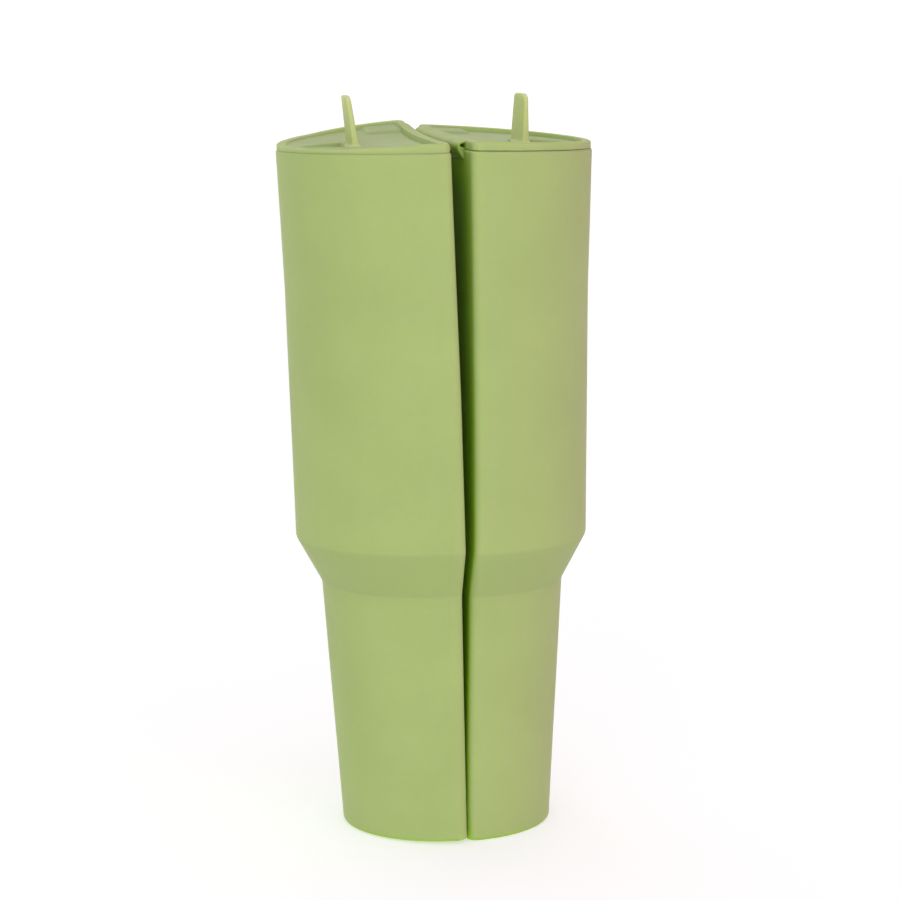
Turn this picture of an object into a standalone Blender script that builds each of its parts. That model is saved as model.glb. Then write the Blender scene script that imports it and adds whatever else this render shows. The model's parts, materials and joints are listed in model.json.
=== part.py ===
"""A pair of soft D-shaped containers, each half of a stepped tumbler, with plug-in lids.

Metres, +Z up. The split plane between the halves faces X and the front faces -Y.
"""

import math

import bmesh
import bpy
from mathutils import Matrix, Vector

# The container, one half of it. Radii are those of its round wall, whose axis lies a little
# across the split plane, so that each container is slightly less than half a tumbler.
AXIS_SETBACK = 0.0006
HEIGHT = 0.215
BASE_RADIUS = 0.0341
WAIST_LOW_Z = 0.0787
WAIST_LOW_RADIUS = 0.0378
WAIST_HIGH_Z = 0.0934
WAIST_HIGH_RADIUS = 0.0455
SHOULDER_Z = 0.172
SHOULDER_RADIUS = 0.0456
RIM_RADIUS = 0.0466
WALL = 0.003
FLOOR = 0.003
FLAT_AT_BASE = 0.0002
FLAT_AT_RIM = -0.001
CORNER_RADIUS = 0.0026
INNER_CORNER_RADIUS = 0.0022
BASE_EDGE_RADIUS = 0.001
RIM_EDGE_RADIUS = 0.0007

# The lid. Heights are above the container's rim.
SEAT_GAP = 0.0003
FLANGE_INSET = 0.00035
FLANGE_TOP = 0.0029
FLANGE_EDGE_RADIUS = 0.0008
BORDER_WIDTH = 0.0028
BORDER_DRAFT = 0.0005
TRAY_DEPTH = 0.0012
PLUG_DEPTH = 0.007
PLUG_CLEARANCE = 0.00035
PLUG_LEAD_IN = 0.0013
PLUG_WALL = 0.0026
PLUG_CEILING = -0.0024

# The pull tab and the finger scoop beside it, on the tray of the lid.
TAB_BASE_WIDTH = 0.0158
TAB_TOP_WIDTH = 0.0136
TAB_BASE_THICKNESS = 0.002
TAB_TOP_THICKNESS = 0.0014
TAB_TOP_RADIUS = 0.0026
TAB_EDGE_RADIUS = 0.0005
TAB_FLARE = 0.0008
SCOOP_START_X = 0.0252
SCOOP_LENGTH = 0.0118
SCOOP_WIDTH = 0.0172
SCOOP_DEPTH = 0.0016
SCOOP_DRAFT = 0.0004
SCOOP_FLOOR_EDGE = 0.0006

# The hinge web, a thin C that joins the lid's flange to the flat wall.
STRAP_WIDTH = 0.070
STRAP_THICKNESS = 0.0009
STRAP_BULGE = 0.0019
STRAP_TOP_Z = 0.0019
STRAP_BOTTOM_Z = -0.0035
STRAP_GAP = 0.0003
STRAP_STEPS = 10

# The line that the lid turns on, along the flat wall.
HINGE_X = -0.0009
HINGE_ABOVE_RIM = 0.0006

# How the pair stands.
LEFT_LEAN = math.radians(2.05)
LEFT_FORWARD = 0.003

# How each soft half has settled. The rim stands this far above HEIGHT at the flat wall and at
# the round side. The lid's top falls towards the round side, over this length, to this height
# above the rim. The lid curls up by this much at the back of its hinge, with this power of the
# way there. Its tab stands at this x, reaches this far above HEIGHT and leans outwards.
RIGHT = {
    "side": 1,
    "rim_at_flat": 0.0008,
    "rim_at_round": 0.0,
    "lid_fall": 0.046,
    "lid_at_round": 0.0021,
    "lid_curl": 0.0024,
    "curl_power": 2,
    "tab_x": 0.0239,
    "tab_top": 0.017,
    "tab_lean": math.radians(1.8),
}
LEFT = {
    "side": -1,
    "rim_at_flat": -0.0005,
    "rim_at_round": 0.0003,
    "lid_fall": 0.032,
    "lid_at_round": 0.0012,
    "lid_curl": 0.0043,
    "curl_power": 3,
    "tab_x": 0.0226,
    "tab_top": 0.0164,
    "tab_lean": math.radians(5.9),
}

# What is left of the curl at the round side.
CURL_AT_ROUND = 0.9

ARC_STEPS = 32
CORNER_STEPS = 3
EDGE_STEPS = 3
SMALL_EDGE_STEPS = 2
SMOOTH_ANGLE = math.radians(35)

SILICONE = (0.42, 0.52, 0.20, 1.0)


def clear_scene():
    for obj in list(bpy.data.objects):
        bpy.data.objects.remove(obj, do_unlink=True)


def silicone_material(name):
    material = bpy.data.materials.new(name)
    material.use_nodes = True
    shader = material.node_tree.nodes["Principled BSDF"]
    shader.inputs["Base Color"].default_value = SILICONE
    shader.inputs["Roughness"].default_value = 0.55
    shader.inputs["Metallic"].default_value = 0.0
    return material


def between(x, x0, y0, x1, y1):
    return y0 + (y1 - y0) * (x - x0) / (x1 - x0)


def wall_radius(z):
    """Outer radius of the round wall at this height."""
    profile = (
        (0.0, BASE_RADIUS),
        (WAIST_LOW_Z, WAIST_LOW_RADIUS),
        (WAIST_HIGH_Z, WAIST_HIGH_RADIUS),
        (SHOULDER_Z, SHOULDER_RADIUS),
        (HEIGHT, RIM_RADIUS),
    )
    for (z0, r0), (z1, r1) in zip(profile, profile[1:]):
        if z <= z1:
            return between(z, z0, r0, z1, r1)
    return RIM_RADIUS


def flat_wall_x(z):
    """Where the outside of the flat wall is at this height."""
    return between(min(z, HEIGHT), 0.0, FLAT_AT_BASE, HEIGHT, FLAT_AT_RIM)


def d_outline(radius, flat_x, corner):
    """Half a disc with rounded corners, as (x, y) points anticlockwise from the front corner."""
    corner_x = flat_x + corner
    corner_y = math.sqrt((radius - corner) ** 2 - corner_x**2)
    turn = math.atan2(corner_y, corner_x)
    points = []
    for step in range(ARC_STEPS + 1):
        angle = -turn + 2 * turn * step / ARC_STEPS
        points.append((radius * math.cos(angle), radius * math.sin(angle)))
    for side in (1, -1):
        steps = range(1, CORNER_STEPS + 1)
        for step in steps if side == 1 else reversed(steps):
            angle = turn + (math.pi - turn) * step / CORNER_STEPS
            x = corner_x + corner * math.cos(angle)
            y = side * (corner_y + corner * math.sin(angle))
            points.append((x, y))
    return points


def rim_rise(half, x):
    """How far the rim stands above HEIGHT."""
    return between(x, 0.0, half["rim_at_flat"], RIM_RADIUS, half["rim_at_round"])


def crown_fall(half, x):
    """How far the lid's top has fallen below its height at the flat wall."""
    reach = max(0.0, min(x / half["lid_fall"], 1.0))
    return (FLANGE_TOP - half["lid_at_round"]) * reach


def curl_rise(half, x, y):
    """How far the lid is lifted: not at its front end, most at the back of its hinge."""
    towards_back = between(y, -RIM_RADIUS, 0.0, RIM_RADIUS, 1.0)
    towards_hinge = between(x, 0.0, 1.0, RIM_RADIUS, CURL_AT_ROUND)
    return half["lid_curl"] * towards_back ** half["curl_power"] * towards_hinge


def container_ring(half, z, inset, corner):
    """Outline of the container at height z, this far inside its outer walls."""
    flat = flat_wall_x(z) + AXIS_SETBACK + inset
    outline = d_outline(wall_radius(z) - inset, flat, corner)
    share = max(0.0, between(z, SHOULDER_Z, 0.0, HEIGHT, 1.0))
    points = [(x - AXIS_SETBACK, y) for x, y in outline]
    return [Vector((x, y, z + share * rim_rise(half, x))) for x, y in points]


def lid_point(half, x, y, height, crowned):
    """A point at a height above the rim, or below the lid's top where the top is crowned."""
    fall = crown_fall(half, x) if crowned else 0.0
    settled = rim_rise(half, x) + curl_rise(half, x, y) - fall
    return Vector((x, y, HEIGHT + settled + height))


def lid_ring(half, height, inset, corner, crowned=False):
    """Outline of the lid at a height above the rim, this far inside the container's walls."""
    outline = d_outline(RIM_RADIUS - inset, FLAT_AT_RIM + AXIS_SETBACK + inset, corner)
    return [lid_point(half, x - AXIS_SETBACK, y, height, crowned) for x, y in outline]


def quarter_turn(steps):
    """Angles from 0 to 90 degrees."""
    return [math.pi / 2 * step / steps for step in range(steps + 1)]


def loft(name, rings):
    """A closed solid through rings of equally many points, capped at both ends."""
    mesh = bpy.data.meshes.new(name)
    shape = bmesh.new()
    rows = [[shape.verts.new(point) for point in ring] for ring in rings]
    for row, following in zip(rows, rows[1:]):
        for i in range(len(row)):
            j = (i + 1) % len(row)
            shape.faces.new((row[i], row[j], following[j], following[i]))
    shape.faces.new(rows[0])
    shape.faces.new(rows[-1])
    bmesh.ops.recalc_face_normals(shape, faces=shape.faces)
    if shape.calc_volume(signed=True) < 0:
        bmesh.ops.reverse_faces(shape, faces=shape.faces)
    shape.to_mesh(mesh)
    shape.free()
    obj = bpy.data.objects.new(name, mesh)
    bpy.context.scene.collection.objects.link(obj)
    return obj


def combine(obj, tool, operation):
    """Adds a Boolean by a helper that isn't shown."""
    tool.hide_render = True
    tool.display_type = "WIRE"
    modifier = obj.modifiers.new(tool.name, "BOOLEAN")
    modifier.operation = operation
    modifier.solver = "EXACT"
    modifier.object = tool


def container_rings(half):
    rings = []
    for angle in quarter_turn(EDGE_STEPS):
        inset = BASE_EDGE_RADIUS * (1 - math.sin(angle))
        z = BASE_EDGE_RADIUS * (1 - math.cos(angle))
        rings.append(container_ring(half, z, inset, CORNER_RADIUS))
    for z in (WAIST_LOW_Z, WAIST_HIGH_Z, SHOULDER_Z):
        rings.append(container_ring(half, z, 0.0, CORNER_RADIUS))
    for angle in quarter_turn(EDGE_STEPS):
        inset = RIM_EDGE_RADIUS * (1 - math.cos(angle))
        z = HEIGHT - RIM_EDGE_RADIUS * (1 - math.sin(angle))
        rings.append(container_ring(half, z, inset, CORNER_RADIUS))
    for angle in quarter_turn(EDGE_STEPS):
        inset = WALL - RIM_EDGE_RADIUS * (1 - math.sin(angle))
        z = HEIGHT - RIM_EDGE_RADIUS * (1 - math.cos(angle))
        rings.append(container_ring(half, z, inset, INNER_CORNER_RADIUS))
    for z in (SHOULDER_Z, WAIST_HIGH_Z, WAIST_LOW_Z):
        rings.append(container_ring(half, z, WALL, INNER_CORNER_RADIUS))
    for angle in quarter_turn(EDGE_STEPS):
        inset = WALL + BASE_EDGE_RADIUS * (1 - math.cos(angle))
        z = FLOOR + BASE_EDGE_RADIUS * (1 - math.sin(angle))
        rings.append(container_ring(half, z, inset, INNER_CORNER_RADIUS))
    return rings


def lid_rings(half):
    plug_inset = WALL + PLUG_CLEARANCE
    hollow_inset = plug_inset + PLUG_WALL
    tray_inset = FLANGE_INSET + BORDER_WIDTH
    lead_in_top = PLUG_LEAD_IN - PLUG_DEPTH
    levels = (
        (PLUG_CEILING, hollow_inset + PLUG_LEAD_IN, INNER_CORNER_RADIUS),
        (-PLUG_DEPTH, hollow_inset, INNER_CORNER_RADIUS),
        (-PLUG_DEPTH, plug_inset + PLUG_LEAD_IN, INNER_CORNER_RADIUS),
        (lead_in_top, plug_inset + PLUG_LEAD_IN / 2, INNER_CORNER_RADIUS),
        (SEAT_GAP, plug_inset, INNER_CORNER_RADIUS),
        (SEAT_GAP, FLANGE_INSET, CORNER_RADIUS),
    )
    rings = [lid_ring(half, height, inset, corner) for height, inset, corner in levels]
    for angle in quarter_turn(EDGE_STEPS):
        inset = FLANGE_INSET + FLANGE_EDGE_RADIUS * (1 - math.cos(angle))
        height = FLANGE_TOP - FLANGE_EDGE_RADIUS * (1 - math.sin(angle))
        rings.append(lid_ring(half, height, inset, CORNER_RADIUS, crowned=True))
    tray = FLANGE_TOP - TRAY_DEPTH
    for height, inset in ((FLANGE_TOP, tray_inset), (tray, tray_inset + BORDER_DRAFT)):
        rings.append(lid_ring(half, height, inset, INNER_CORNER_RADIUS, crowned=True))
    return rings


def tray_height(half, x):
    """Height of the tray's surface above HEIGHT, on the lid's middle line."""
    settled = rim_rise(half, x) + curl_rise(half, x, 0.0) - crown_fall(half, x)
    return settled + FLANGE_TOP - TRAY_DEPTH


def rounded_rectangle(half_x, half_y, radius):
    points = []
    for quarter, (side_x, side_y) in enumerate(((1, 1), (-1, 1), (-1, -1), (1, -1))):
        for turned in quarter_turn(SMALL_EDGE_STEPS):
            angle = math.pi / 2 * quarter + turned
            x = side_x * (half_x - radius) + radius * math.cos(angle)
            y = side_y * (half_y - radius) + radius * math.sin(angle)
            points.append((x, y))
    return points


def tab_ring(half, height, half_thickness, half_width):
    """One outline of the pull tab, shifted outwards as the tab leans."""
    shift = half["tab_x"] + math.tan(half["tab_lean"]) * height
    outline = rounded_rectangle(half_thickness, half_width, TAB_EDGE_RADIUS)
    return [Vector((shift + x, y, HEIGHT + height)) for x, y in outline]


def pull_tab(name, half):
    foot = tray_height(half, half["tab_x"])
    top = half["tab_top"]
    shoulder = top - TAB_TOP_RADIUS
    half_base = TAB_BASE_THICKNESS / 2
    half_top = TAB_TOP_THICKNESS / 2
    half_width = TAB_TOP_WIDTH / 2
    half_foot = TAB_BASE_WIDTH / 2
    root = foot - 2 * TAB_FLARE
    rings = [tab_ring(half, root, half_base + TAB_FLARE, half_foot + TAB_FLARE)]
    for angle in quarter_turn(SMALL_EDGE_STEPS):
        height = foot + TAB_FLARE * (1 - math.cos(angle))
        spread = TAB_FLARE * (1 - math.sin(angle))
        rings.append(tab_ring(half, height, half_base + spread, half_foot + spread))
    for angle in quarter_turn(2 * EDGE_STEPS)[:-1]:
        height = shoulder + TAB_TOP_RADIUS * math.sin(angle)
        narrowing = TAB_TOP_RADIUS * (1 - math.cos(angle))
        rings.append(tab_ring(half, height, half_top, half_width - narrowing))
    thin_top = half_top - TAB_EDGE_RADIUS / 2
    rings.append(tab_ring(half, top, thin_top, half_width - TAB_TOP_RADIUS))
    return loft(name, rings)


def scoop_cutter(name, half):
    """The finger scoop: a shallow D whose straight side faces the tab."""
    half_width = SCOOP_WIDTH / 2
    stretch = SCOOP_LENGTH / half_width
    bottom = tray_height(half, SCOOP_START_X + SCOOP_LENGTH) - SCOOP_DEPTH
    levels = (
        (bottom, SCOOP_DRAFT + SCOOP_FLOOR_EDGE),
        (bottom + SCOOP_FLOOR_EDGE, SCOOP_DRAFT),
        (FLANGE_TOP + half["lid_curl"], 0.0),
    )
    rings = []
    for height, shrink in levels:
        outline = d_outline(half_width - shrink, shrink, INNER_CORNER_RADIUS)
        ring = [Vector((SCOOP_START_X + stretch * x, y, HEIGHT + height)) for x, y in outline]
        rings.append(ring)
    return loft(name, rings)


def strap_section():
    """The C-shaped cross-section, as (x, height) points round its outline."""
    lid_x = FLAT_AT_RIM + FLANGE_INSET - STRAP_GAP
    wall_x = FLAT_AT_RIM - STRAP_GAP
    middle = (STRAP_TOP_Z + STRAP_BOTTOM_Z) / 2
    reach = (STRAP_TOP_Z - STRAP_BOTTOM_Z) / 2
    outer = []
    inner = []
    for step in range(STRAP_STEPS + 1):
        angle = math.pi * step / STRAP_STEPS
        end_x = between(step, 0, lid_x, STRAP_STEPS, wall_x)
        for side, thin in ((outer, 0.0), (inner, STRAP_THICKNESS)):
            x = end_x - (STRAP_BULGE - thin) * math.sin(angle)
            side.append((x, middle + (reach - thin) * math.cos(angle)))
    return outer + inner[::-1]


def hinge_strap(name, half):
    rim = HEIGHT + half["rim_at_flat"]
    rings = []
    for y in (-STRAP_WIDTH / 2, STRAP_WIDTH / 2):
        rings.append([Vector((x, y, rim + height)) for x, height in strap_section()])
    return loft(name, rings)


def finish_surface(obj):
    obj.data.materials.append(silicone_material(obj.name + "_silicone"))
    obj.data.shade_smooth()
    obj.data.set_sharp_from_angle(angle=SMOOTH_ANGLE)


def place(obj, side, origin):
    """Mirrors a shape made for the right half if it goes on the left, and sets its origin."""
    obj.data.transform(Matrix.Translation((-origin.x, -origin.y, -origin.z)))
    if side == -1:
        obj.data.transform(Matrix.Diagonal((-1, 1, 1, 1)))
        obj.data.flip_normals()
    obj.location = (side * origin.x, origin.y, origin.z)


def build_half(label, half):
    """One container with its lid and hinge web, under an empty of its own."""
    side = half["side"]
    holder = bpy.data.objects.new(label + "_half", None)
    bpy.context.scene.collection.objects.link(holder)
    mold = loft(label + "_mold", container_rings(half))
    lid = loft(label + "_lid", lid_rings(half))
    tab = pull_tab(label + "_tab_shape", half)
    scoop = scoop_cutter(label + "_scoop_shape", half)
    strap = hinge_strap(label + "_strap", half)
    hinge_z = HEIGHT + half["rim_at_flat"] + HINGE_ABOVE_RIM
    hinge_end = Vector((HINGE_X, -RIM_RADIUS, hinge_z))
    for obj in (mold, strap):
        place(obj, side, Vector((0.0, 0.0, 0.0)))
        obj.parent = holder
    for obj in (lid, tab, scoop):
        place(obj, side, hinge_end)
    lid.parent = holder
    for helper, operation in ((tab, "UNION"), (scoop, "DIFFERENCE")):
        helper.location = (0.0, 0.0, 0.0)
        helper.parent = lid
        combine(lid, helper, operation)
    for obj in (mold, lid, strap):
        finish_surface(obj)
    return holder


def lean_left(holder):
    """Turns the left half about its outer bottom edge and stands it a little forward."""
    edge = Vector((BASE_EDGE_RADIUS - BASE_RADIUS, 0.0, 0.0))
    holder.rotation_euler.y = -LEFT_LEAN
    holder.location = edge - Matrix.Rotation(-LEFT_LEAN, 3, "Y") @ edge
    holder.location.y = -LEFT_FORWARD


def centre_on_origin(holders):
    """Puts the origin at the middle of the pair's footprint, level with its lowest point."""
    bpy.context.view_layer.update()
    shapes = [obj for holder in holders for obj in holder.children_recursive]
    points = [obj.matrix_world @ vertex.co for obj in shapes for vertex in obj.data.vertices]
    middle_x = (min(p.x for p in points) + max(p.x for p in points)) / 2
    middle_y = (min(p.y for p in points) + max(p.y for p in points)) / 2
    lowest = min(p.z for p in points)
    for holder in holders:
        holder.location -= Vector((middle_x, middle_y, lowest))


clear_scene()
right_half = build_half("right", RIGHT)
left_half = build_half("left", LEFT)
lean_left(left_half)
centre_on_origin([right_half, left_half])
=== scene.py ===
"""The pair of soft green half-tumbler containers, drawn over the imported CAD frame.

Each half is built upright in its own frame, as the right-hand half, then mirrored if it is the
left one and stood where the record's base mounts say. Metres, +Z up, the front faces -Y.
"""

import json
import math

import bmesh
import bpy
from mathutils import Matrix, Vector, noise


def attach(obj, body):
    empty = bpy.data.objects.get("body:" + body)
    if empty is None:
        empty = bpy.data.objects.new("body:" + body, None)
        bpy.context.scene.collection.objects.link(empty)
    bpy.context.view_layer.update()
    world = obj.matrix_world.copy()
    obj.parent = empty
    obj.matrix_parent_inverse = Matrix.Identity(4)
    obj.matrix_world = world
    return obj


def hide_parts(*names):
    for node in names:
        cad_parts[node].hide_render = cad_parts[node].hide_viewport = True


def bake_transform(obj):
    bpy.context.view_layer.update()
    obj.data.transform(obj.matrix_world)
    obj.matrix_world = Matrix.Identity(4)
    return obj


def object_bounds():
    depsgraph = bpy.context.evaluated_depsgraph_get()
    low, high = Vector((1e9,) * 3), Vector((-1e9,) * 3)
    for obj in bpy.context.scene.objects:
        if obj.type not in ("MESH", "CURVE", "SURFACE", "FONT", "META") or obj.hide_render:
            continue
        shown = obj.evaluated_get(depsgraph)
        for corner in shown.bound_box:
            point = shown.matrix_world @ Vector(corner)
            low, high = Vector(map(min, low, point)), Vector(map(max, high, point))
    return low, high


# The container, as in the CAD. Radii are those of the round wall.
AXIS_SETBACK = 0.0006
HEIGHT = 0.215
BASE_RADIUS = 0.0341
WAIST_LOW_Z = 0.0787
WAIST_LOW_RADIUS = 0.0378
WAIST_HIGH_Z = 0.0934
WAIST_HIGH_RADIUS = 0.0455
SHOULDER_Z = 0.172
SHOULDER_RADIUS = 0.0456
RIM_RADIUS = 0.0466
WALL = 0.003
FLOOR = 0.003
FLAT_AT_BASE = 0.0002
FLAT_AT_RIM = -0.001
CORNER_RADIUS = 0.0026
INNER_CORNER_RADIUS = 0.0022
BASE_EDGE_RADIUS = 0.001
RIM_EDGE_RADIUS = 0.0007
CREASE = 0.0005
SEAM_RIDGE = 0.0001
WALL_STEP = 0.006

# The lid. Heights are above the container's rim.
FLANGE_INSET = 0.00035
FLANGE_TOP = 0.0029
FLANGE_EDGE_RADIUS = 0.0009
FLANGE_LOW_RADIUS = 0.0002
BORDER_WIDTH = 0.0028
BORDER_EDGE_RADIUS = 0.0004
BORDER_DRAFT = 0.0005
TRAY_DEPTH = 0.0017
TRAY_FILLET = 0.0005
RING_STEP = 0.00045
LAST_RING = 0.0206
PLUG_DEPTH = 0.007
PLUG_CLEARANCE = 0.00035
PLUG_LEAD_IN = 0.0013
PLUG_WALL = 0.0026
PLUG_CEILING = -0.0024

# The raised shelf in each corner of the tray, beside the flat wall.
SHELF_RISE = 0.001
SHELF_REACH = 0.0135
SHELF_START_Y = 0.029
SHELF_EDGE = 0.0006

# The pull tab and the finger scoop.
TAB_BASE_WIDTH = 0.0158
TAB_TOP_WIDTH = 0.0136
TAB_BASE_THICKNESS = 0.002
TAB_TOP_THICKNESS = 0.0014
TAB_BACK_RADIUS = 0.0022
TAB_FRONT_REACH = 0.0055
TAB_FRONT_DROP = 0.0022
TAB_EDGE_RADIUS = 0.0005
TAB_TOP_PINCH = 0.8
TAB_TOP_SHARPNESS = 24
TAB_MOST_ROUNDING = 0.95
TAB_FLARE = 0.0012
SCOOP_START_X = 0.0248
SCOOP_LENGTH = 0.0135
SCOOP_WIDTH = 0.0185
SCOOP_DEPTH = 0.0022
SCOOP_EDGE = 0.0007

# The hinge web, a skin from the lid's top edge down to the flat wall.
WEB_FRONT = -0.034
WEB_BACK = 0.04
WEB_THICKNESS = 0.0009
WEB_FOOT_THICKNESS = 0.0026
WEB_IN_LID = 0.0012
WEB_DROP = 0.0036
WEB_FOOT_REACH = 0.0022
WEB_FOOT_RISE = 0.003
WEB_END_ROUND = 0.0008
WEB_SUNK_SHARE = 0.1
WEB_THICKENS_FROM = 0.35
WEB_THICKENS_TO = 0.75
WEB_LEAST_PINCH = 0.15

# How each soft half has settled. The rim and the lid's curl are as in the CAD. The flat wall is
# pushed in by wall_hollow at HOLLOW_Z, and less within HOLLOW_REACH of it. At the rim it is
# pushed in by front_in and back_in at its ends, which fades out down to in_from and out to the
# round side. The underside of a curled lid hangs down by up to DROOP, and CURL_AT_ROUND is what
# is left of the curl at the round side.
HOLLOW_Z = 0.12
HOLLOW_REACH = 0.085
DROOP = 0.00045
CURL_AT_ROUND = 0.9
HALVES = (
    {
        "label": "right",
        "side": 1,
        "rim_at_flat": 0.0008,
        "rim_at_round": 0.0,
        "lid_fall": 0.046,
        "lid_at_round": 0.0021,
        "lid_curl": 0.0024,
        "curl_power": 2,
        "tab_x": 0.0239,
        "tab_top": 0.017,
        "tab_lean": math.radians(1.8),
        "tab_twist": math.radians(1.5),
        "seat_gap": 0.0001,
        "web_bulge": 0.0044,
        "front_in": -0.0003,
        "back_in": 0.0006,
        "in_from": 0.17,
        "wall_hollow": 0.0006,
    },
    {
        "label": "left",
        "side": -1,
        "rim_at_flat": -0.0005,
        "rim_at_round": 0.0003,
        "lid_fall": 0.032,
        "lid_at_round": 0.0011,
        "lid_curl": 0.0043,
        "curl_power": 3,
        "tab_x": 0.0222,
        "tab_top": 0.0164,
        "tab_lean": math.radians(5.9),
        "tab_twist": math.radians(2.2),
        "seat_gap": -0.0002,
        "web_bulge": 0.0034,
        "front_in": 0.0012,
        "back_in": -0.002,
        "in_from": 0.14,
        "wall_hollow": 0.0,
    },
)

# The base mount is this far from the flat side.
MOUNT_X = 0.014

# How finely the shapes are divided, and how far and how closely their surfaces wander.
ARC_STEPS = 144
FLAT_STEPS = 72
CORNER_STEPS = 7
EDGE_STEPS = 5
TAB_EDGE_STEPS = 4
WEB_STEPS = 18
WEB_ROWS = 60
SMOOTH_ANGLE = math.radians(40)
WARP_SIZE = 0.0001
WARP_SCALE = 22.0
WARP_SEED = 5

# The silicone. Colours are linear.
BODY_GREEN = (0.407, 0.51, 0.187)
# Painted shade and painted reflection: the tray's green is darker and greyer than the body's.
SHADED_TRAY_GREEN = (0.37, 0.465, 0.19)
# Painted light: the tab's green is paler, as if light shone through it.
TAB_PAINTED_GLOW_GREEN = (0.62, 0.71, 0.31)
# Painted shade: crevices and the gap between the halves are darkened towards this deep green.
CREVICE_SHADE_GREEN = (0.3, 0.5, 0.02)
# The colour that sharp edges are paled towards.
PALE_EDGE_COLOUR = (0.52, 0.60, 0.31)
DUST = (0.62, 0.66, 0.50)
TONE_RANGE = 0.035
# Painted shade: surfaces facing down are darkened to this share of their green.
UNDERSIDE_SHADE_SHARE = 0.86
# How far the painted crevice shade looks for nearby surfaces.
CREVICE_SHADE_REACH = 0.012
MOST_DUST = 0.28
# How far sharp edges are paled, at most.
MOST_EDGE_PALING = 0.2
SMOOTHEST = 0.5
ROUGHEST = 0.62
SPECULAR_LEVEL = 0.16
REFRACTION = 1.42
SUBSURFACE_WEIGHT = 0.5
SUBSURFACE_RADIUS = (0.9, 1.1, 0.3)
SUBSURFACE_SCALE = 0.004

# The scales of the noises, in cells per metre, and how deep the bumps are.
CLOUD_SCALE = 34.0
SPECK_SCALE = 2600.0
SMEAR_SCALE = 90.0
GRAIN_SCALE = 1500.0
RIPPLE_SCALE = 140.0
GRAIN_DEPTH = 0.00006
GRAIN_STRENGTH = 0.5
RIPPLE_DEPTH = 0.0004
RIPPLE_STRENGTH = 0.18
NOISE_SHIFT = 0.37

# The floor and the light. The room is white, with darker walls far to the left and the right.
FLOOR_COLOUR = (0.62, 0.63, 0.62)
FLOOR_GLOW = 0.5
FLOOR_ROUGHNESS = 0.9
FLOOR_SPECULAR = 0.1
FLOOR_REACH = 4.0
WHITE = (1.0, 1.0, 1.0)
LEFT_WALL = (0.2, 0.2, 0.15)
RIGHT_WALL = (0.4, 0.07, 0.33)
ROOM_STOPS = ((0.08, LEFT_WALL), (0.3, WHITE), (0.69, WHITE), (0.85, RIGHT_WALL))
ROOM_STRENGTH = 1.07
LAMP_PLACE = (-0.5, -1.4, 0.3)
LAMP_TARGET = (0.0, 0.0, 0.1)
LAMP_SIZE = 1.0
LAMP_POWER = 4.2

# The camera, from the origin of the right half. The lens and the sensor are in millimetres.
CAMERA_OFFSET = Vector((-0.17524, -0.86391, 0.25057))
CAMERA_YAW = math.radians(-11.6)
CAMERA_PITCH = math.radians(8.51353)
CAMERA_LENS = 111.83
CAMERA_SENSOR = 36.0
CAMERA_SHIFT = (-0.002, 0.00178)
CAMERA_NEAREST = 0.01


def between(x, x0, y0, x1, y1):
    return y0 + (y1 - y0) * (x - x0) / (x1 - x0)


def smoothstep(x, low, high):
    share = max(0.0, min((x - low) / (high - low), 1.0))
    return share * share * (3 - 2 * share)


def quarter_turn(steps):
    """Angles from 0 to 90 degrees."""
    return [math.pi / 2 * step / steps for step in range(steps + 1)]


# Shapes, in the frame of the right-hand half.


def wall_radius(z):
    """Outer radius of the round wall at this height."""
    profile = (
        (0.0, BASE_RADIUS),
        (WAIST_LOW_Z, WAIST_LOW_RADIUS),
        (WAIST_HIGH_Z, WAIST_HIGH_RADIUS),
        (SHOULDER_Z, SHOULDER_RADIUS),
        (HEIGHT, RIM_RADIUS),
    )
    for (z0, r0), (z1, r1) in zip(profile, profile[1:]):
        if z <= z1:
            return between(z, z0, r0, z1, r1)
    return RIM_RADIUS


def flat_wall_x(half, z):
    straight = between(min(z, HEIGHT), 0.0, FLAT_AT_BASE, HEIGHT, FLAT_AT_RIM)
    hollow = half["wall_hollow"] * max(0.0, 1 - ((z - HOLLOW_Z) / HOLLOW_REACH) ** 2)
    return straight + hollow


def rim_shift(half, x, y, z=HEIGHT):
    """How far the soft rim is pushed in, away from the other half."""
    height_share = max(0.0, between(z, half["in_from"], 0.0, HEIGHT, 1.0))
    side_share = max(0.0, between(x, 0.0, 1.0, RIM_RADIUS, 0.0))
    push = between(y, -RIM_RADIUS, half["front_in"], RIM_RADIUS, half["back_in"])
    return push * height_share * min(side_share, 1.0)


def d_outline(radius, flat_x, corner, ridge=0.0):
    """Half a disc with rounded corners, as (x, y) points anticlockwise from the front corner.

    The ridge is how far the mould's seam stands out where the round wall meets each corner.
    """
    corner_x = flat_x + corner
    corner_y = math.sqrt((radius - corner) ** 2 - corner_x**2)
    turn = math.atan2(corner_y, corner_x)
    points = []
    for step in range(ARC_STEPS + 1):
        angle = -turn + 2 * turn * step / ARC_STEPS
        reach = radius + (ridge if step in (1, ARC_STEPS - 1) else 0.0)
        points.append((reach * math.cos(angle), reach * math.sin(angle)))
    for side in (1, -1):
        steps = range(1, CORNER_STEPS + 1)
        for step in steps if side == 1 else reversed(steps):
            angle = turn + (math.pi - turn) * step / CORNER_STEPS
            x = corner_x + corner * math.cos(angle)
            y = side * (corner_y + corner * math.sin(angle))
            points.append((x, y))
        if side == 1:
            for step in range(1, FLAT_STEPS):
                points.append((flat_x, between(step, 0, corner_y, FLAT_STEPS, -corner_y)))
    return points


def rim_rise(half, x):
    """How far the rim stands above HEIGHT."""
    return between(x, 0.0, half["rim_at_flat"], RIM_RADIUS, half["rim_at_round"])


def crown_fall(half, x):
    """How far the lid's top has fallen below its height at the flat wall."""
    reach = max(0.0, min(x / half["lid_fall"], 1.0))
    return (FLANGE_TOP - half["lid_at_round"]) * reach


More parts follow.
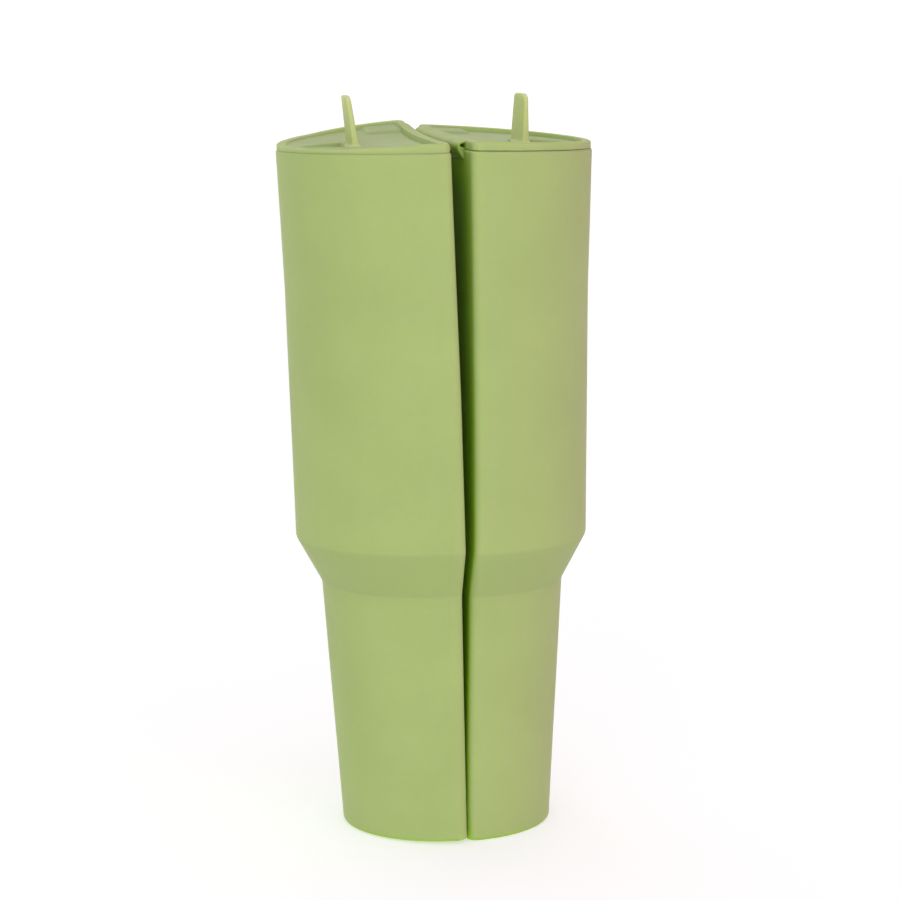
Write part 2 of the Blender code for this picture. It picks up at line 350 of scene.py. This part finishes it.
def crowned_height(half, x, height):
    """A height on the lid's top, lowered in proportion as the lid thins towards its round side."""
    return height * (1 - crown_fall(half, x) / FLANGE_TOP)


def curl_rise(half, x, y):
    """How far the lid is lifted: not at its front end, most at the back of its hinge."""
    towards_back = max(0.0, between(y, -RIM_RADIUS, 0.0, RIM_RADIUS, 1.0))
    towards_hinge = between(x, 0.0, 1.0, RIM_RADIUS, CURL_AT_ROUND)
    return half["lid_curl"] * towards_back ** half["curl_power"] * towards_hinge


def container_ring(half, z, inset, corner, ridge=0.0):
    flat = flat_wall_x(half, z) + AXIS_SETBACK + inset
    outline = d_outline(wall_radius(z) - inset, flat, corner, ridge)
    share = max(0.0, between(z, SHOULDER_Z, 0.0, HEIGHT, 1.0))
    ring = []
    for outline_x, y in outline:
        x = outline_x - AXIS_SETBACK
        rise = share * rim_rise(half, x)
        ring.append(Vector((x + rim_shift(half, x, y, z), y, z + rise)))
    return ring


def lid_ring(half, height, inset, corner, crowned=False, relief=False):
    """Outline of the lid at a height above the rim, this far inside the container's walls."""
    flat = flat_wall_x(half, HEIGHT) + AXIS_SETBACK + inset
    outline = d_outline(RIM_RADIUS - inset, flat, corner)
    ring = []
    for outline_x, y in outline:
        x = outline_x - AXIS_SETBACK
        curl = curl_rise(half, x, y)
        settled = rim_rise(half, x) + curl
        if crowned:
            full = height + (tray_relief(x, y) if relief else 0.0)
            settled += crowned_height(half, x, full) - height
        else:
            settled -= min(curl, DROOP)
        ring.append(Vector((x + rim_shift(half, x, y), y, HEIGHT + settled + height)))
    return ring


def tray_relief(x, y):
    """How far the tray's surface stands above its floor: corner shelves, less the scoop."""
    along = smoothstep(abs(y), SHELF_START_Y - SHELF_EDGE, SHELF_START_Y + SHELF_EDGE)
    across = 1 - smoothstep(x, SHELF_REACH - SHELF_EDGE, SHELF_REACH + SHELF_EDGE)
    shelf = SHELF_RISE * along * across
    ahead = (x - SCOOP_START_X) / SCOOP_LENGTH
    spread = math.hypot(ahead, y / (SCOOP_WIDTH / 2))
    inside = (1 - spread) * SCOOP_LENGTH
    dip = smoothstep(inside, -SCOOP_EDGE, SCOOP_EDGE)
    dip *= smoothstep(x, SCOOP_START_X - SCOOP_EDGE, SCOOP_START_X + SCOOP_EDGE)
    return shelf - SCOOP_DEPTH * dip


def shape_from_rings(rings):
    """A bmesh skinned over rings of equally many points, with both ends capped."""
    shape = bmesh.new()
    rows = [[shape.verts.new(point) for point in ring] for ring in rings]
    for row, following in zip(rows, rows[1:]):
        for i in range(len(row)):
            j = (i + 1) % len(row)
            shape.faces.new((row[i], row[j], following[j], following[i]))
    shape.faces.new(reversed(rows[0]))
    shape.faces.new(rows[-1])
    bmesh.ops.recalc_face_normals(shape, faces=shape.faces)
    if shape.calc_volume(signed=True) < 0:
        bmesh.ops.reverse_faces(shape, faces=shape.faces)
    return shape


def wall_heights(low, high):
    """Heights between two levels of the wall, close enough for it to look soft."""
    steps = max(1, round((high - low) / WALL_STEP))
    return [between(step, 0, low, steps, high) for step in range(steps + 1)]


def outer_levels():
    """Heights of the outer wall from above the base edge to below the rim edge."""
    marks = (BASE_EDGE_RADIUS, WAIST_LOW_Z, WAIST_HIGH_Z, HEIGHT - RIM_EDGE_RADIUS)
    levels = []
    for low, high in zip(marks, marks[1:]):
        levels += wall_heights(low + CREASE, high - CREASE)
    return levels


def container_rings(half):
    rings = []
    for angle in quarter_turn(EDGE_STEPS):
        inset = BASE_EDGE_RADIUS * (1 - math.sin(angle))
        z = BASE_EDGE_RADIUS * (1 - math.cos(angle))
        rings.append(container_ring(half, z, inset, CORNER_RADIUS))
    for z in outer_levels():
        rings.append(container_ring(half, z, 0.0, CORNER_RADIUS, SEAM_RIDGE))
    for angle in quarter_turn(EDGE_STEPS):
        inset = RIM_EDGE_RADIUS * (1 - math.cos(angle))
        z = HEIGHT - RIM_EDGE_RADIUS * (1 - math.sin(angle))
        rings.append(container_ring(half, z, inset, CORNER_RADIUS))
    for angle in quarter_turn(EDGE_STEPS):
        inset = WALL - RIM_EDGE_RADIUS * (1 - math.sin(angle))
        z = HEIGHT - RIM_EDGE_RADIUS * (1 - math.cos(angle))
        rings.append(container_ring(half, z, inset, INNER_CORNER_RADIUS))
    for z in (SHOULDER_Z, WAIST_HIGH_Z, WAIST_LOW_Z):
        rings.append(container_ring(half, z, WALL, INNER_CORNER_RADIUS))
    for angle in quarter_turn(EDGE_STEPS):
        inset = WALL + BASE_EDGE_RADIUS * (1 - math.cos(angle))
        z = FLOOR + BASE_EDGE_RADIUS * (1 - math.sin(angle))
        rings.append(container_ring(half, z, inset, INNER_CORNER_RADIUS))
    return rings


def lid_underside_levels(half):
    """(height, inset) from the middle of the plug's hollow out to the flange's lower edge."""
    plug_inset = WALL + PLUG_CLEARANCE
    hollow_inset = plug_inset + PLUG_WALL
    lead_in_top = PLUG_LEAD_IN - PLUG_DEPTH
    low_edge = FLANGE_INSET + FLANGE_LOW_RADIUS
    return (
        (PLUG_CEILING, hollow_inset + PLUG_LEAD_IN),
        (PLUG_CEILING - PLUG_LEAD_IN / 2, hollow_inset),
        (-PLUG_DEPTH, hollow_inset),
        (-PLUG_DEPTH, plug_inset + PLUG_LEAD_IN),
        (lead_in_top, plug_inset + PLUG_LEAD_IN / 2),
        (half["seat_gap"], plug_inset),
        (half["seat_gap"], low_edge),
        (half["seat_gap"] + FLANGE_LOW_RADIUS, FLANGE_INSET),
    )


def border_levels():
    """(height, inset) over the border, from the flange's side to the tray's floor."""
    levels = []
    for angle in quarter_turn(EDGE_STEPS):
        inset = FLANGE_INSET + FLANGE_EDGE_RADIUS * (1 - math.cos(angle))
        levels.append((FLANGE_TOP - FLANGE_EDGE_RADIUS * (1 - math.sin(angle)), inset))
    border_end = FLANGE_INSET + BORDER_WIDTH
    for angle in quarter_turn(EDGE_STEPS):
        inset = border_end - BORDER_EDGE_RADIUS * (1 - math.sin(angle))
        levels.append((FLANGE_TOP - BORDER_EDGE_RADIUS * (1 - math.cos(angle)), inset))
    return levels


def tray_insets():
    """Insets of the rings that cover the tray, from the foot of the border inwards."""
    start = FLANGE_INSET + BORDER_WIDTH + BORDER_DRAFT
    steps = round((LAST_RING - start) / RING_STEP)
    return [between(step, 0, start, steps, LAST_RING) for step in range(1, steps + 1)]


def lid_rings(half):
    rings = []
    for height, inset in lid_underside_levels(half):
        corner = CORNER_RADIUS if inset < WALL else INNER_CORNER_RADIUS
        rings.append(lid_ring(half, height, inset, corner))
    for height, inset in border_levels():
        rings.append(lid_ring(half, height, inset, CORNER_RADIUS, crowned=True))
    foot = FLANGE_INSET + BORDER_WIDTH + BORDER_DRAFT
    floor = FLANGE_TOP - TRAY_DEPTH
    for angle in quarter_turn(EDGE_STEPS):
        inset = foot + TRAY_FILLET * (math.sin(angle) - 1) * 0.5
        height = floor + TRAY_FILLET * (1 - math.sin(angle))
        ring = lid_ring(half, height, inset, INNER_CORNER_RADIUS, crowned=True, relief=True)
        rings.append(ring)
    for inset in tray_insets():
        ring = lid_ring(half, floor, inset, INNER_CORNER_RADIUS, crowned=True, relief=True)
        rings.append(ring)
    return rings


def rounded_rectangle(half_x, half_y, radius):
    points = []
    for quarter, (side_x, side_y) in enumerate(((1, 1), (-1, 1), (-1, -1), (1, -1))):
        for turned in quarter_turn(TAB_EDGE_STEPS):
            angle = math.pi / 2 * quarter + turned
            x = side_x * (half_x - radius) + radius * math.cos(angle)
            y = side_y * (half_y - radius) + radius * math.sin(angle)
            points.append((x, y))
    return points


def tab_ring(half, height, half_thickness, front, back):
    """One outline of the pull tab, shifted outwards as the tab leans, and twisted."""
    shift = half["tab_x"] + math.tan(half["tab_lean"]) * height
    half_width = (back - front) / 2
    most = TAB_MOST_ROUNDING * min(half_thickness, half_width)
    radius = min(TAB_EDGE_RADIUS, most)
    twist = Matrix.Rotation(half["tab_twist"], 3, "Z")
    ring = []
    for x, y in rounded_rectangle(half_thickness, half_width, radius):
        turned = twist @ Vector((x, y + (front + back) / 2, 0.0))
        ring.append(turned + Vector((shift, 0.0, HEIGHT + height)))
    return ring


def arch(share):
    """How far a quarter ellipse has come in at this share of its height."""
    return 1 - math.sqrt(max(0.0, 1 - share**2))


def tab_rings(half):
    """The pull tab: a flared foot, a blade that thins upwards, and a top that falls forwards."""
    x = half["tab_x"]
    settled = rim_rise(half, x) + curl_rise(half, x, 0.0)
    foot = crowned_height(half, x, FLANGE_TOP - TRAY_DEPTH) + settled
    top = half["tab_top"]
    half_base = TAB_BASE_THICKNESS / 2
    half_top = TAB_TOP_THICKNESS / 2
    half_foot = TAB_BASE_WIDTH / 2
    half_width = TAB_TOP_WIDTH / 2
    flared = half_foot + TAB_FLARE
    rings = [tab_ring(half, foot - TAB_FLARE, half_base + TAB_FLARE, -flared, flared)]
    for angle in quarter_turn(EDGE_STEPS):
        height = foot - TAB_FLARE / 4 + TAB_FLARE * (1 - math.cos(angle))
        spread = TAB_FLARE * (1 - math.sin(angle))
        reach = half_foot + spread
        rings.append(tab_ring(half, height, half_base + spread, -reach, reach))
    shoulder = top - TAB_FRONT_DROP
    for angle in quarter_turn(3 * EDGE_STEPS):
        height = shoulder + TAB_FRONT_DROP * math.sin(angle)
        front = -half_width + TAB_FRONT_REACH * arch((height - shoulder) / TAB_FRONT_DROP)
        above = max(0.0, height - top + TAB_BACK_RADIUS)
        back = half_width - TAB_BACK_RADIUS * arch(above / TAB_BACK_RADIUS)
        pinch = TAB_EDGE_RADIUS * TAB_TOP_PINCH * math.sin(angle) ** TAB_TOP_SHARPNESS
        rings.append(tab_ring(half, height, half_top - pinch, front, back))
    return rings


def bezier(p0, p1, p2, p3, t):
    """A point on the curve from p0 to p3."""
    s = 1 - t
    return s**3 * p0 + 3 * s**2 * t * p1 + 3 * s * t**2 * p2 + t**3 * p3


def web_section(half, y, pinch):
    """The hinge web's closed (x, z) outline at y. The pinch thins it towards an end."""
    rim = HEIGHT + rim_rise(half, 0.0)
    top_z = rim + curl_rise(half, 0.0, y) + FLANGE_TOP - WEB_THICKNESS * WEB_SUNK_SHARE
    flat = flat_wall_x(half, HEIGHT) + rim_shift(half, 0.0, y)
    lid_end = Vector((flat + FLANGE_INSET + WEB_IN_LID, top_z))
    wall_end = Vector((flat + WEB_THICKNESS / 2, rim - WEB_DROP))
    reach = Vector((-half["web_bulge"] - WEB_IN_LID, 0.0))
    foot = Vector((-WEB_FOOT_REACH - WEB_THICKNESS / 2, WEB_FOOT_RISE))
    curve = (lid_end, lid_end + reach, wall_end + foot, wall_end)
    middle = [bezier(*curve, step / WEB_STEPS) for step in range(WEB_STEPS + 1)]
    outer = []
    inner = []
    for step, point in enumerate(middle):
        ahead = middle[min(step + 1, WEB_STEPS)] - middle[max(step - 1, 0)]
        normal = Vector((ahead.y, -ahead.x)).normalized()
        in_foot = smoothstep(step / WEB_STEPS, WEB_THICKENS_FROM, WEB_THICKENS_TO)
        full = between(in_foot, 0.0, WEB_THICKNESS, 1.0, WEB_FOOT_THICKNESS)
        hidden = flat + WEB_THICKNESS / 2
        skin = point - normal * WEB_THICKNESS * (1 - pinch) / 2
        lining = skin - normal * full * pinch
        outer.append(skin)
        inner.append(Vector((min(lining.x, max(hidden, skin.x)), lining.y)))
    return outer + inner[::-1]


def web_rings(half):
    """The web's sections from its front end to its back end, both of them rounded off."""
    round_off = quarter_turn(EDGE_STEPS)
    front = [WEB_FRONT + WEB_END_ROUND * (1 - math.cos(angle)) for angle in round_off]
    back = [WEB_BACK - WEB_END_ROUND * (1 - math.cos(angle)) for angle in round_off]
    pinches = [max(WEB_LEAST_PINCH, math.sin(angle)) for angle in round_off]
    levels = list(zip(front, pinches))
    for step in range(1, WEB_ROWS):
        levels.append((between(step, 0, front[-1], WEB_ROWS, back[-1]), 1.0))
    levels += list(zip(back, pinches))[::-1]
    rings = []
    for y, pinch in levels:
        rings.append([Vector((x, y, z)) for x, z in web_section(half, y, pinch)])
    return rings


# Placing.


def half_matrix(half):
    """From the half's own frame to where it stands, found from its base mount."""
    name = half["label"] + "_base"
    mount = next(m for m in frame["record"]["mounts"] if m["name"] == name)
    lean = Matrix.Rotation(-math.asin(mount["axis"][0]), 4, "Y")
    to_centre = Matrix.Translation((-half["side"] * MOUNT_X, 0.0, 0.0))
    return Matrix.Translation(mount["pos_m"]) @ lean @ to_centre


def warp(shape):
    """Soft silicone never sets quite true: every surface wanders a little."""
    for vertex in shape.verts:
        drift = noise.noise_vector(vertex.co * WARP_SCALE)
        vertex.co += drift * WARP_SIZE


def place(name, half, rings, material):
    """One object from rings in the half's frame, mirrored for the left, and put in its place."""
    mesh = bpy.data.meshes.new(name)
    shape = shape_from_rings(rings)
    warp(shape)
    if half["side"] == -1:
        bmesh.ops.scale(shape, vec=(-1, 1, 1), verts=shape.verts)
        bmesh.ops.reverse_faces(shape, faces=shape.faces)
    shape.to_mesh(mesh)
    shape.free()
    mesh.transform(half_matrix(half))
    mesh.materials.append(material)
    mesh.shade_smooth()
    mesh.set_sharp_from_angle(angle=SMOOTH_ANGLE)
    obj = bpy.data.objects.new(name, mesh)
    bpy.context.scene.collection.objects.link(obj)
    return obj


def build_container(half, material):
    label = half["label"]
    obj = place(label + "_container", half, container_rings(half), material)
    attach(obj, label + "_half")
    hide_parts(label + "_mold")


def merge(obj, tool):
    """Makes the second object part of the first one's surface."""
    modifier = obj.modifiers.new("join", "BOOLEAN")
    modifier.operation = "UNION"
    modifier.solver = "EXACT"
    modifier.material_mode = "TRANSFER"
    modifier.object = tool
    scene_state = bpy.context.evaluated_depsgraph_get()
    merged = bpy.data.meshes.new_from_object(obj.evaluated_get(scene_state))
    obj.modifiers.clear()
    obj.data = merged
    bpy.data.objects.remove(tool)


def give_tray_painted_shade(obj, half, material):
    """Gives the tray its own darker, greyer material, which holds painted shade and painted
    reflection: the faces from the foot of the border inwards.
    """
    obj.data.materials.append(material)
    rings_outside = len(lid_underside_levels(half)) + len(border_levels())
    points_outside = rings_outside * len(lid_ring(half, 0.0, 0.0, CORNER_RADIUS))
    for face in obj.data.polygons:
        if min(face.vertices) >= points_outside:
            face.material_index = 1


def build_lid(half, materials):
    label = half["label"]
    obj = place(label + "_cover_with_tab", half, lid_rings(half), materials["body"])
    # The tray's material holds painted shade and painted reflection.
    give_tray_painted_shade(obj, half, materials["tray"])
    # The tab's material is paler with painted light shining through it.
    tab = place(label + "_tab_shape", half, tab_rings(half), materials["tab"])
    merge(obj, tab)
    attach(obj, label + "_cover")
    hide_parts(label + "_lid")


def build_web(half, material):
    label = half["label"]
    obj = place(label + "_hinge_web", half, web_rings(half), material)
    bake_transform(obj)
    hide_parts(label + "_strap")


# Materials.


def node(tree, kind, **inputs):
    """A new node with these inputs set. Spaces in an input's name are written as _."""
    made = tree.nodes.new(kind)
    for name, value in inputs.items():
        made.inputs[name.replace("_", " ")].default_value = value
    return made


def noise_node(tree, coordinates, scale, detail, roughness=0.5):
    made = node(tree, "ShaderNodeTexNoise", Scale=scale, Detail=detail, Roughness=roughness)
    tree.links.new(coordinates, made.inputs["Vector"])
    return made.outputs["Fac"]


def ramp(tree, value, stops):
    """A colour ramp over the value, from (position, colour) stops."""
    made = tree.nodes.new("ShaderNodeValToRGB")
    elements = made.color_ramp.elements
    while len(elements) < len(stops):
        elements.new(0.5)
    for element, (position, colour) in zip(elements, stops):
        element.position = position
        element.color = (*colour, 1.0)
    tree.links.new(value, made.inputs["Fac"])
    return made.outputs["Color"]


def mix(tree, share, first, second):
    """The first colour, covered by the second where the share is 1."""
    made = tree.nodes.new("ShaderNodeMix")
    made.data_type = "RGBA"
    tree.links.new(share, made.inputs["Factor"])
    for socket, value in ((made.inputs["A"], first), (made.inputs["B"], second)):
        if isinstance(value, tuple):
            socket.default_value = (*value, 1.0)
        else:
            tree.links.new(value, socket)
    return made.outputs["Result"]


def scaled(tree, value, low, high, out_low, out_high):
    """The value mapped from low..high to out_low..out_high, and held there."""
    made = tree.nodes.new("ShaderNodeMapRange")
    limits = (low, high, out_low, out_high)
    for name, limit in zip(("From Min", "From Max", "To Min", "To Max"), limits):
        made.inputs[name].default_value = limit
    tree.links.new(value, made.inputs["Value"])
    return made.outputs["Result"]


def bumped(tree, height, distance, strength, under=None):
    """A normal bumped by the height, on top of the one under it."""
    made = node(tree, "ShaderNodeBump", Distance=distance, Strength=strength)
    tree.links.new(height, made.inputs["Height"])
    if under is not None:
        tree.links.new(under, made.inputs["Normal"])
    return made.outputs["Normal"]


def toned(green, factor):
    return tuple(channel * factor for channel in green)


def silicone_colour(tree, surface, normal, green):
    """Cloudy green with faint dust, darkened with painted shade on undersides and in crevices,
    paler on edges.
    """
    clouds = noise_node(tree, surface, CLOUD_SCALE, 3.0)
    deep = toned(green, 1 - TONE_RANGE)
    pale = toned(green, 1 + TONE_RANGE)
    colour = ramp(tree, clouds, ((0.3, deep), (0.5, green), (0.72, pale)))
    # Painted shade: surfaces that face down are darkened.
    facing = tree.nodes.new("ShaderNodeSeparateXYZ")
    tree.links.new(normal, facing.inputs["Vector"])
    painted_underside_shade = scaled(tree, facing.outputs["Z"], -0.1, -0.4, 0.0, 1.0)
    colour = mix(tree, painted_underside_shade, colour, toned(green, UNDERSIDE_SHADE_SHARE))
    specks = noise_node(tree, surface, SPECK_SCALE, 2.0)
    dust = scaled(tree, specks, 0.66, 0.78, 0.0, MOST_DUST)
    colour = mix(tree, dust, colour, DUST)
    # Sharp edges are made paler.
    edges = tree.nodes.new("ShaderNodeNewGeometry").outputs["Pointiness"]
    edge_paling = scaled(tree, edges, 0.515, 0.56, 0.0, MOST_EDGE_PALING)
    colour = mix(tree, edge_paling, colour, PALE_EDGE_COLOUR)
    # Painted shade: where nearby surfaces close in, the colour turns to the deep crevice green.
    openness = node(tree, "ShaderNodeAmbientOcclusion", Distance=CREVICE_SHADE_REACH)
    painted_crevice_shade = scaled(tree, openness.outputs["AO"], 0.15, 0.55, 1.0, 0.0)
    return mix(tree, painted_crevice_shade, colour, CREVICE_SHADE_GREEN)


def silicone_skin(tree, surface):
    """The bumped normal: a slow ripple under a fine grain."""
    grain = noise_node(tree, surface, GRAIN_SCALE, 4.0, 0.6)
    ripple = noise_node(tree, surface, RIPPLE_SCALE, 2.0)
    normal = bumped(tree, ripple, RIPPLE_DEPTH, RIPPLE_STRENGTH)
    return bumped(tree, grain, GRAIN_DEPTH, GRAIN_STRENGTH, under=normal)


def silicone_material(name, shift, green):
    """Matt, slightly translucent silicone in this green."""
    material = bpy.data.materials.new(name)
    material.use_nodes = True
    tree = material.node_tree
    shader = tree.nodes["Principled BSDF"]
    shader.inputs["Specular IOR Level"].default_value = SPECULAR_LEVEL
    shader.inputs["IOR"].default_value = REFRACTION
    shader.inputs["Subsurface Weight"].default_value = SUBSURFACE_WEIGHT
    shader.inputs["Subsurface Radius"].default_value = SUBSURFACE_RADIUS
    shader.inputs["Subsurface Scale"].default_value = SUBSURFACE_SCALE
    places = tree.nodes.new("ShaderNodeTexCoord")
    moved = node(tree, "ShaderNodeMapping", Location=(shift, shift / 2, -shift))
    tree.links.new(places.outputs["Object"], moved.inputs["Vector"])
    surface = moved.outputs["Vector"]
    colour = silicone_colour(tree, surface, places.outputs["Normal"], green)
    tree.links.new(colour, shader.inputs["Base Color"])
    smears = noise_node(tree, surface, SMEAR_SCALE, 5.0, 0.6)
    roughness = scaled(tree, smears, 0.3, 0.7, SMOOTHEST, ROUGHEST)
    tree.links.new(roughness, shader.inputs["Roughness"])
    tree.links.new(silicone_skin(tree, surface), shader.inputs["Normal"])
    return material


def silicone_set(label, shift):
    """The body's green, the tray's darker, greyer one with painted shade and painted reflection,
    and the tab's paler one with painted light shining through it.
    """
    # The tray's and the tab's greens hold painted shade, painted reflection and painted light.
    greens = {"body": BODY_GREEN, "tray": SHADED_TRAY_GREEN, "tab": TAB_PAINTED_GLOW_GREEN}
    materials = {}
    for part, green in greens.items():
        materials[part] = silicone_material(f"{label}_{part}_silicone", shift, green)
    return materials


def paper_material():
    """The pale sheet that the pair stands on, lit a little from below."""
    material = bpy.data.materials.new("pale_sheet")
    material.use_nodes = True
    shader = material.node_tree.nodes["Principled BSDF"]
    shader.inputs["Base Color"].default_value = (*FLOOR_COLOUR, 1.0)
    shader.inputs["Emission Color"].default_value = (*WHITE, 1.0)
    shader.inputs["Emission Strength"].default_value = FLOOR_GLOW
    shader.inputs["Roughness"].default_value = FLOOR_ROUGHNESS
    shader.inputs["Specular IOR Level"].default_value = FLOOR_SPECULAR
    return material


# The stage.


def build_floor():
    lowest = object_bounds()[0][2]
    mesh = bpy.data.meshes.new("floor_sheet")
    sides = ((-1, -1), (1, -1), (1, 1), (-1, 1))
    corners = [(x * FLOOR_REACH, y * FLOOR_REACH, lowest) for x, y in sides]
    mesh.from_pydata(corners, [], [(0, 1, 2, 3)])
    mesh.materials.append(paper_material())
    floor = bpy.data.objects.new("floor_sheet", mesh)
    bpy.context.scene.collection.objects.link(floor)


def build_room():
    world = bpy.data.worlds.new("studio")
    world.use_nodes = True
    tree = world.node_tree
    background = tree.nodes["Background"]
    background.inputs["Strength"].default_value = ROOM_STRENGTH
    direction = tree.nodes.new("ShaderNodeTexCoord").outputs["Generated"]
    axes = tree.nodes.new("ShaderNodeSeparateXYZ")
    tree.links.new(direction, axes.inputs["Vector"])
    across = scaled(tree, axes.outputs["X"], -1.0, 1.0, 0.0, 1.0)
    tree.links.new(ramp(tree, across, ROOM_STOPS), background.inputs["Color"])
    bpy.context.scene.world = world


def build_lamp():
    light = bpy.data.lights.new("front_soft", "AREA")
    light.shape = "DISK"
    light.size = LAMP_SIZE
    light.energy = LAMP_POWER
    lamp = bpy.data.objects.new("front_soft", light)
    lamp.location = LAMP_PLACE
    aim = Vector(LAMP_TARGET) - Vector(LAMP_PLACE)
    lamp.rotation_euler = aim.to_track_quat("-Z", "Y").to_euler()
    bpy.context.scene.collection.objects.link(lamp)


def build_camera():
    camera = bpy.data.cameras.new("camera")
    camera.lens = CAMERA_LENS
    camera.sensor_width = CAMERA_SENSOR
    camera.shift_x, camera.shift_y = CAMERA_SHIFT
    camera.clip_start = CAMERA_NEAREST
    eye = bpy.data.objects.new("camera", camera)
    eye.location = half_matrix(HALVES[0]).translation + CAMERA_OFFSET
    eye.rotation_euler = (math.pi / 2 - CAMERA_PITCH, 0.0, CAMERA_YAW)
    bpy.context.scene.collection.objects.link(eye)
    bpy.context.scene.camera = eye


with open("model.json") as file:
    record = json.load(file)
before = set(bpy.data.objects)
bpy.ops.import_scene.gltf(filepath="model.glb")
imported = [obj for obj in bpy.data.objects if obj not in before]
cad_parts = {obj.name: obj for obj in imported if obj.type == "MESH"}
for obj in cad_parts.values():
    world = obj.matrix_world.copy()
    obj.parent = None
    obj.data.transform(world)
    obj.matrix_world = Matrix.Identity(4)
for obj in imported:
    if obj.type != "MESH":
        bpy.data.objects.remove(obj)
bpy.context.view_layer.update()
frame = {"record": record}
noise.seed_set(WARP_SEED)
for number, half in enumerate(HALVES):
    materials = silicone_set(half["label"], NOISE_SHIFT * number)
    build_container(half, materials["body"])
    build_lid(half, materials)
    build_web(half, materials["body"])
build_floor()
build_room()
build_lamp()
build_camera()
bpy.context.scene.view_settings.view_transform = "Standard"
